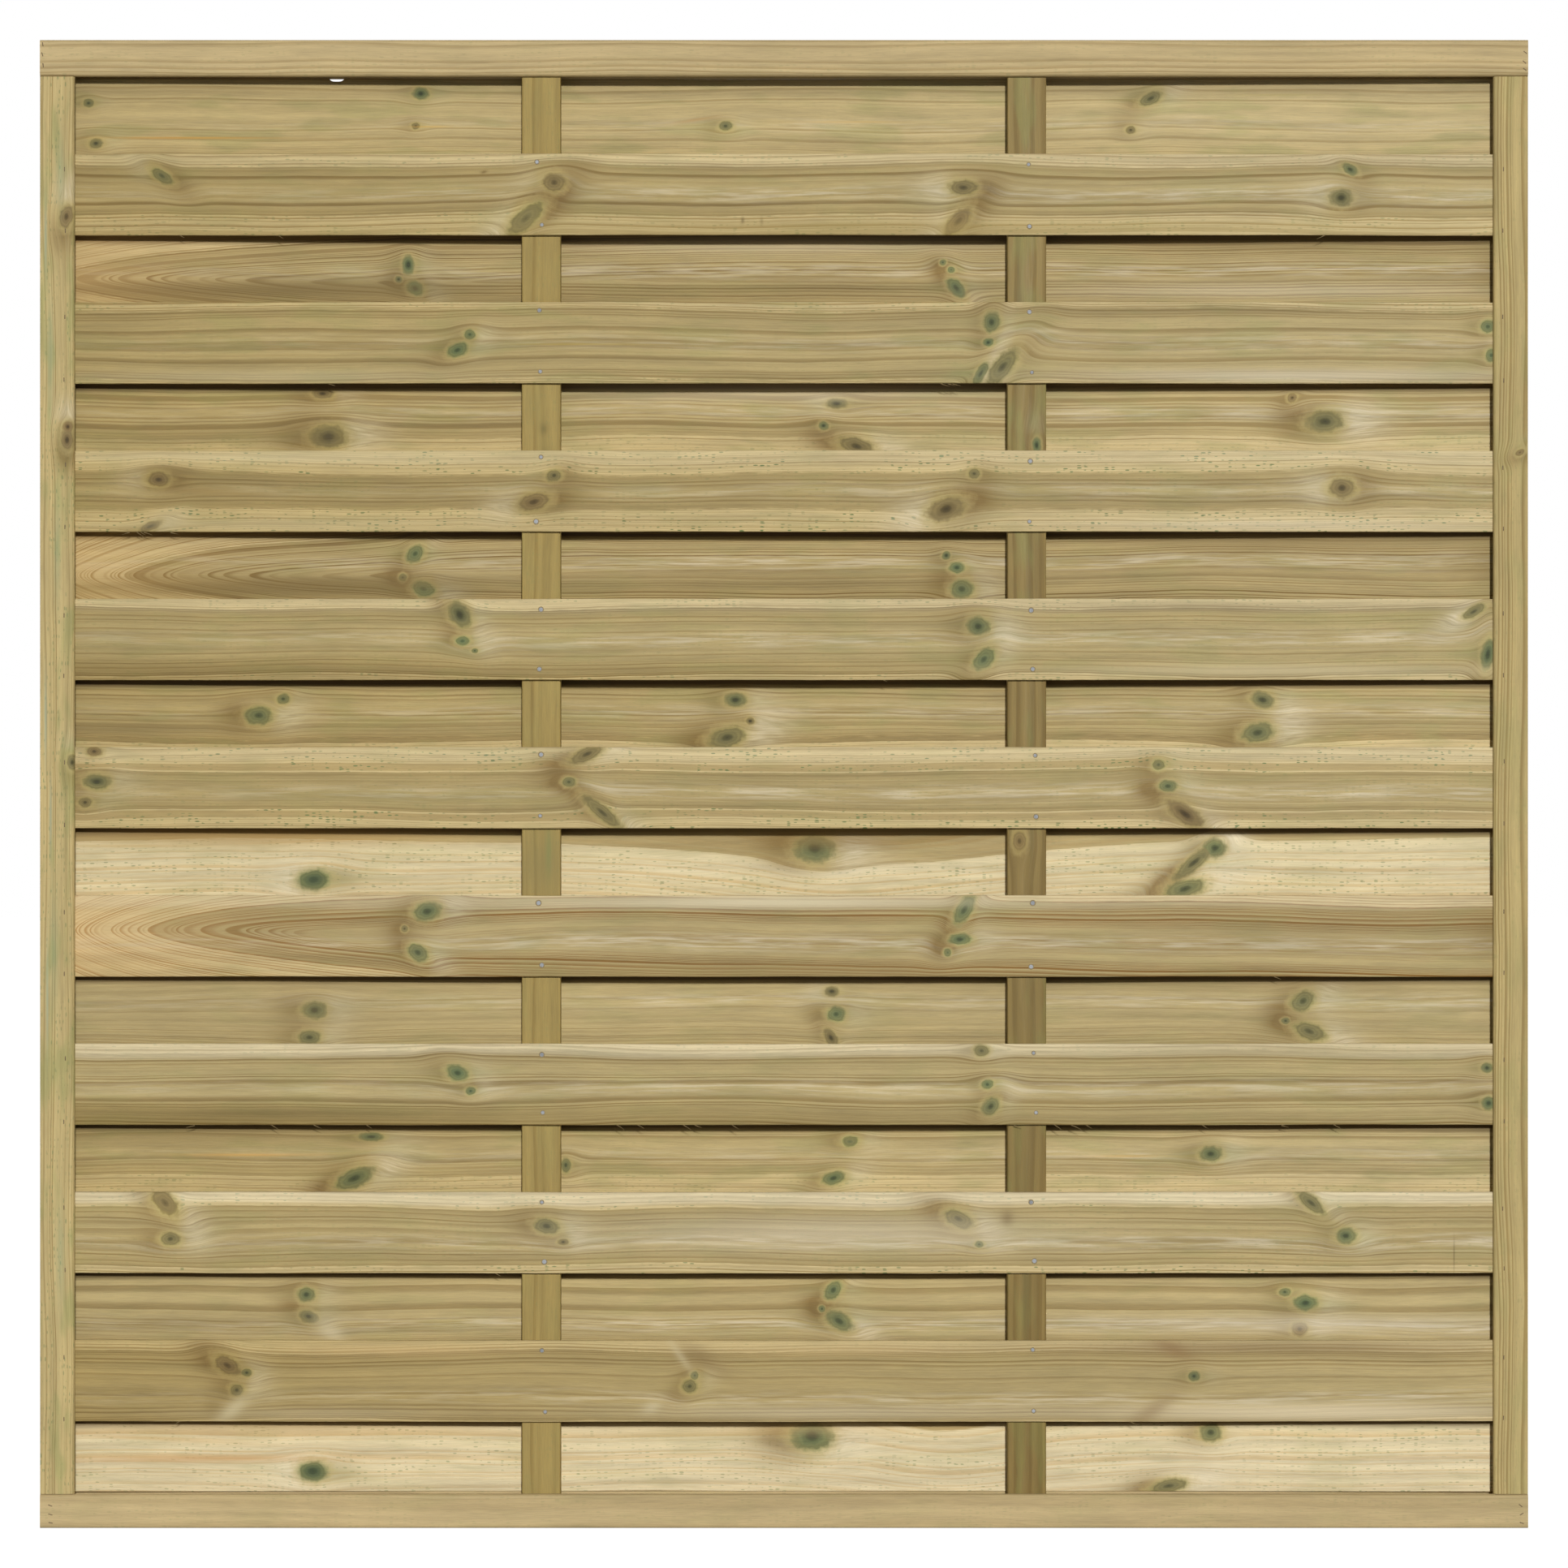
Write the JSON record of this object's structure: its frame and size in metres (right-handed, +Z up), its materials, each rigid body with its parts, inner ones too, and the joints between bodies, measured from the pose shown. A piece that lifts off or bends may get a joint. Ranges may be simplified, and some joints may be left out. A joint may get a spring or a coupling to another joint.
{
  "type": "hit-and-miss fence panel",
  "caption": "Framed softwood fence panel with horizontal slats in two lapped layers, sprung between grooved stiles and bowed around upright battens.",
  "frame": {"origin": "on the left stile's outer face, halfway up the panel and halfway through its depth", "axes": "+X along the panel to the right, +Y through the panel away from its front, +Z up"},
  "size_m": [1.8, 0.0474, 1.8],
  "materials": {
    "frame_timber": "matte",
    "batten_timber": "matte",
    "slat_timber": "matte"
  },
  "bodies": {
    "root": {"top_rail": "frame_timber", "bottom_rail": "frame_timber", "left_stile": "frame_timber", "right_stile": "frame_timber", "left_batten": "batten_timber", "right_batten": "batten_timber", "front_slat_1": "slat_timber", "front_slat_2": "slat_timber", "front_slat_3": "slat_timber", "front_slat_4": "slat_timber", "front_slat_5": "slat_timber", "front_slat_6": "slat_timber", "front_slat_7": "slat_timber", "front_slat_8": "slat_timber", "front_slat_9": "slat_timber", "rear_slat_1": "slat_timber", "rear_slat_2": "slat_timber", "rear_slat_3": "slat_timber", "rear_slat_4": "slat_timber", "rear_slat_5": "slat_timber", "rear_slat_6": "slat_timber", "rear_slat_7": "slat_timber", "rear_slat_8": "slat_timber", "rear_slat_9": "slat_timber", "rear_slat_10": "slat_timber"}
  },
  "joints": []
}
